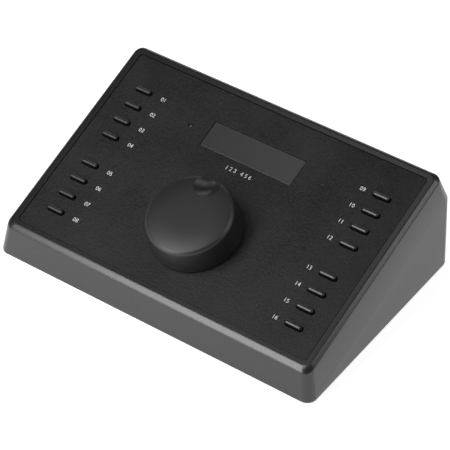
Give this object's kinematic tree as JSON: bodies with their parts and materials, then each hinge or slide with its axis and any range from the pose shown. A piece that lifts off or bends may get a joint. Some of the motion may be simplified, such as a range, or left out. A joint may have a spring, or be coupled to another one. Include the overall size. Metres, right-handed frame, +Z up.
{
  "type": "studio monitor controller",
  "caption": "Wedge shaped desktop controller with a large volume knob, bar keys in two columns, a display window and sockets in the back.",
  "frame": {"origin": "centre of the base on the surface that the feet stand on", "axes": "+X to the right across the width, +Y to the back towards the sockets, +Z up"},
  "size_m": [0.2, 0.1272, 0.0607],
  "materials": {
    "housing_coat": "satin black coat on the housing",
    "fascia_coat": "fine textured matt black coat",
    "knob_coat": "satin black coat on the knob",
    "key_plastic": "black plastic with a soft sheen",
    "smoked_window": "dark smoked window",
    "display_cell": "black display cell, switched off",
    "gasket_foam": "black foam",
    "frame_plastic": "dark grey moulded plastic",
    "board_laminate": "green solder mask",
    "nickel_plate": "satin nickel plate",
    "zinc_steel": "zinc plated steel",
    "base_coat": "matt black coat on the base plate",
    "rear_coat": "matt black coat on the rear panel",
    "socket_plastic": "black moulded sockets",
    "foot_rubber": "black rubber feet",
    "blackened_steel": "blackened steel screws",
    "ribbon_film": "pale grey flat cable"
  },
  "bodies": {
    "base": {"housing_shell": "housing_coat", "fascia_panel": "fascia_coat", "display_window": "smoked_window", "display_gasket": "gasket_foam", "display_glass": "display_cell", "display_holder": "frame_plastic", "sensor_lens": "smoked_window", "control_board": "board_laminate", "encoder_body": "nickel_plate", "encoder_washer": "nickel_plate", "encoder_nut": "nickel_plate", "base_plate": "base_coat", "foot_front_left": "foot_rubber", "foot_front_right": "foot_rubber", "foot_back_left": "foot_rubber", "foot_back_right": "foot_rubber", "base_screw_1": "blackened_steel", "base_screw_2": "blackened_steel", "base_screw_3": "blackened_steel", "base_screw_4": "blackened_steel", "base_screw_5": "blackened_steel", "base_screw_6": "blackened_steel", "main_board": "board_laminate", "ribbon_cable": "ribbon_film", "rear_panel": "rear_coat", "digital_input": "socket_plastic", "analog_input_left": "socket_plastic", "analog_input_right": "socket_plastic", "line_output_left": "socket_plastic", "line_output_right": "socket_plastic", "headphone_jack": "socket_plastic", "jack_nut_1": "zinc_steel", "jack_nut_2": "zinc_steel", "jack_nut_3": "zinc_steel", "network_port": "zinc_steel", "usb_port": "zinc_steel", "power_inlet": "socket_plastic"},
    "rotor": {"encoder_rotor": "frame_plastic"},
    "knob": {"volume_knob": "knob_coat", "encoder_shaft": "nickel_plate"},
    "key_left_1": {"key_left_1": "key_plastic"},
    "key_left_2": {"key_left_2": "key_plastic"},
    "key_left_3": {"key_left_3": "key_plastic"},
    "key_left_4": {"key_left_4": "key_plastic"},
    "key_left_5": {"key_left_5": "key_plastic"},
    "key_left_6": {"key_left_6": "key_plastic"},
    "key_left_7": {"key_left_7": "key_plastic"},
    "key_left_8": {"key_left_8": "key_plastic"},
    "key_right_1": {"key_right_1": "key_plastic"},
    "key_right_2": {"key_right_2": "key_plastic"},
    "key_right_3": {"key_right_3": "key_plastic"},
    "key_right_4": {"key_right_4": "key_plastic"},
    "key_right_5": {"key_right_5": "key_plastic"},
    "key_right_6": {"key_right_6": "key_plastic"},
    "key_right_7": {"key_right_7": "key_plastic"},
    "key_right_8": {"key_right_8": "key_plastic"}
  },
  "joints": [
    {"name": "knob_turn", "type": "hinge", "parent": "base", "child": "rotor", "pos_m": [0, -0.02029, 0.03358], "axis": [0, -0.3322, 0.9432], "continuous": true},
    {"name": "knob_press", "type": "slide", "parent": "rotor", "child": "knob", "axis": [0, 0.3322, -0.9432], "range_m": [0, 0.0005], "stiffness_N_per_m": 6000, "springref_m": -0.0006},
    {"name": "key_left_1_press", "type": "slide", "parent": "base", "child": "key_left_1", "axis": [0, 0.3322, -0.9432], "range_m": [0, 0.0006], "stiffness_N_per_m": 2500, "springref_m": -0.0004},
    {"name": "key_left_2_press", "type": "slide", "parent": "base", "child": "key_left_2", "axis": [0, 0.3322, -0.9432], "range_m": [0, 0.0006], "stiffness_N_per_m": 2500, "springref_m": -0.0004},
    {"name": "key_left_3_press", "type": "slide", "parent": "base", "child": "key_left_3", "axis": [0, 0.3322, -0.9432], "range_m": [0, 0.0006], "stiffness_N_per_m": 2500, "springref_m": -0.0004},
    {"name": "key_left_4_press", "type": "slide", "parent": "base", "child": "key_left_4", "axis": [0, 0.3322, -0.9432], "range_m": [0, 0.0006], "stiffness_N_per_m": 2500, "springref_m": -0.0004},
    {"name": "key_left_5_press", "type": "slide", "parent": "base", "child": "key_left_5", "axis": [0, 0.3322, -0.9432], "range_m": [0, 0.0006], "stiffness_N_per_m": 2500, "springref_m": -0.0004},
    {"name": "key_left_6_press", "type": "slide", "parent": "base", "child": "key_left_6", "axis": [0, 0.3322, -0.9432], "range_m": [0, 0.0006], "stiffness_N_per_m": 2500, "springref_m": -0.0004},
    {"name": "key_left_7_press", "type": "slide", "parent": "base", "child": "key_left_7", "axis": [0, 0.3322, -0.9432], "range_m": [0, 0.0006], "stiffness_N_per_m": 2500, "springref_m": -0.0004},
    {"name": "key_left_8_press", "type": "slide", "parent": "base", "child": "key_left_8", "axis": [0, 0.3322, -0.9432], "range_m": [0, 0.0006], "stiffness_N_per_m": 2500, "springref_m": -0.0004},
    {"name": "key_right_1_press", "type": "slide", "parent": "base", "child": "key_right_1", "axis": [0, 0.3322, -0.9432], "range_m": [0, 0.0006], "stiffness_N_per_m": 2500, "springref_m": -0.0004},
    {"name": "key_right_2_press", "type": "slide", "parent": "base", "child": "key_right_2", "axis": [0, 0.3322, -0.9432], "range_m": [0, 0.0006], "stiffness_N_per_m": 2500, "springref_m": -0.0004},
    {"name": "key_right_3_press", "type": "slide", "parent": "base", "child": "key_right_3", "axis": [0, 0.3322, -0.9432], "range_m": [0, 0.0006], "stiffness_N_per_m": 2500, "springref_m": -0.0004},
    {"name": "key_right_4_press", "type": "slide", "parent": "base", "child": "key_right_4", "axis": [0, 0.3322, -0.9432], "range_m": [0, 0.0006], "stiffness_N_per_m": 2500, "springref_m": -0.0004},
    {"name": "key_right_5_press", "type": "slide", "parent": "base", "child": "key_right_5", "axis": [0, 0.3322, -0.9432], "range_m": [0, 0.0006], "stiffness_N_per_m": 2500, "springref_m": -0.0004},
    {"name": "key_right_6_press", "type": "slide", "parent": "base", "child": "key_right_6", "axis": [0, 0.3322, -0.9432], "range_m": [0, 0.0006], "stiffness_N_per_m": 2500, "springref_m": -0.0004},
    {"name": "key_right_7_press", "type": "slide", "parent": "base", "child": "key_right_7", "axis": [0, 0.3322, -0.9432], "range_m": [0, 0.0006], "stiffness_N_per_m": 2500, "springref_m": -0.0004},
    {"name": "key_right_8_press", "type": "slide", "parent": "base", "child": "key_right_8", "axis": [0, 0.3322, -0.9432], "range_m": [0, 0.0006], "stiffness_N_per_m": 2500, "springref_m": -0.0004}
  ]
}
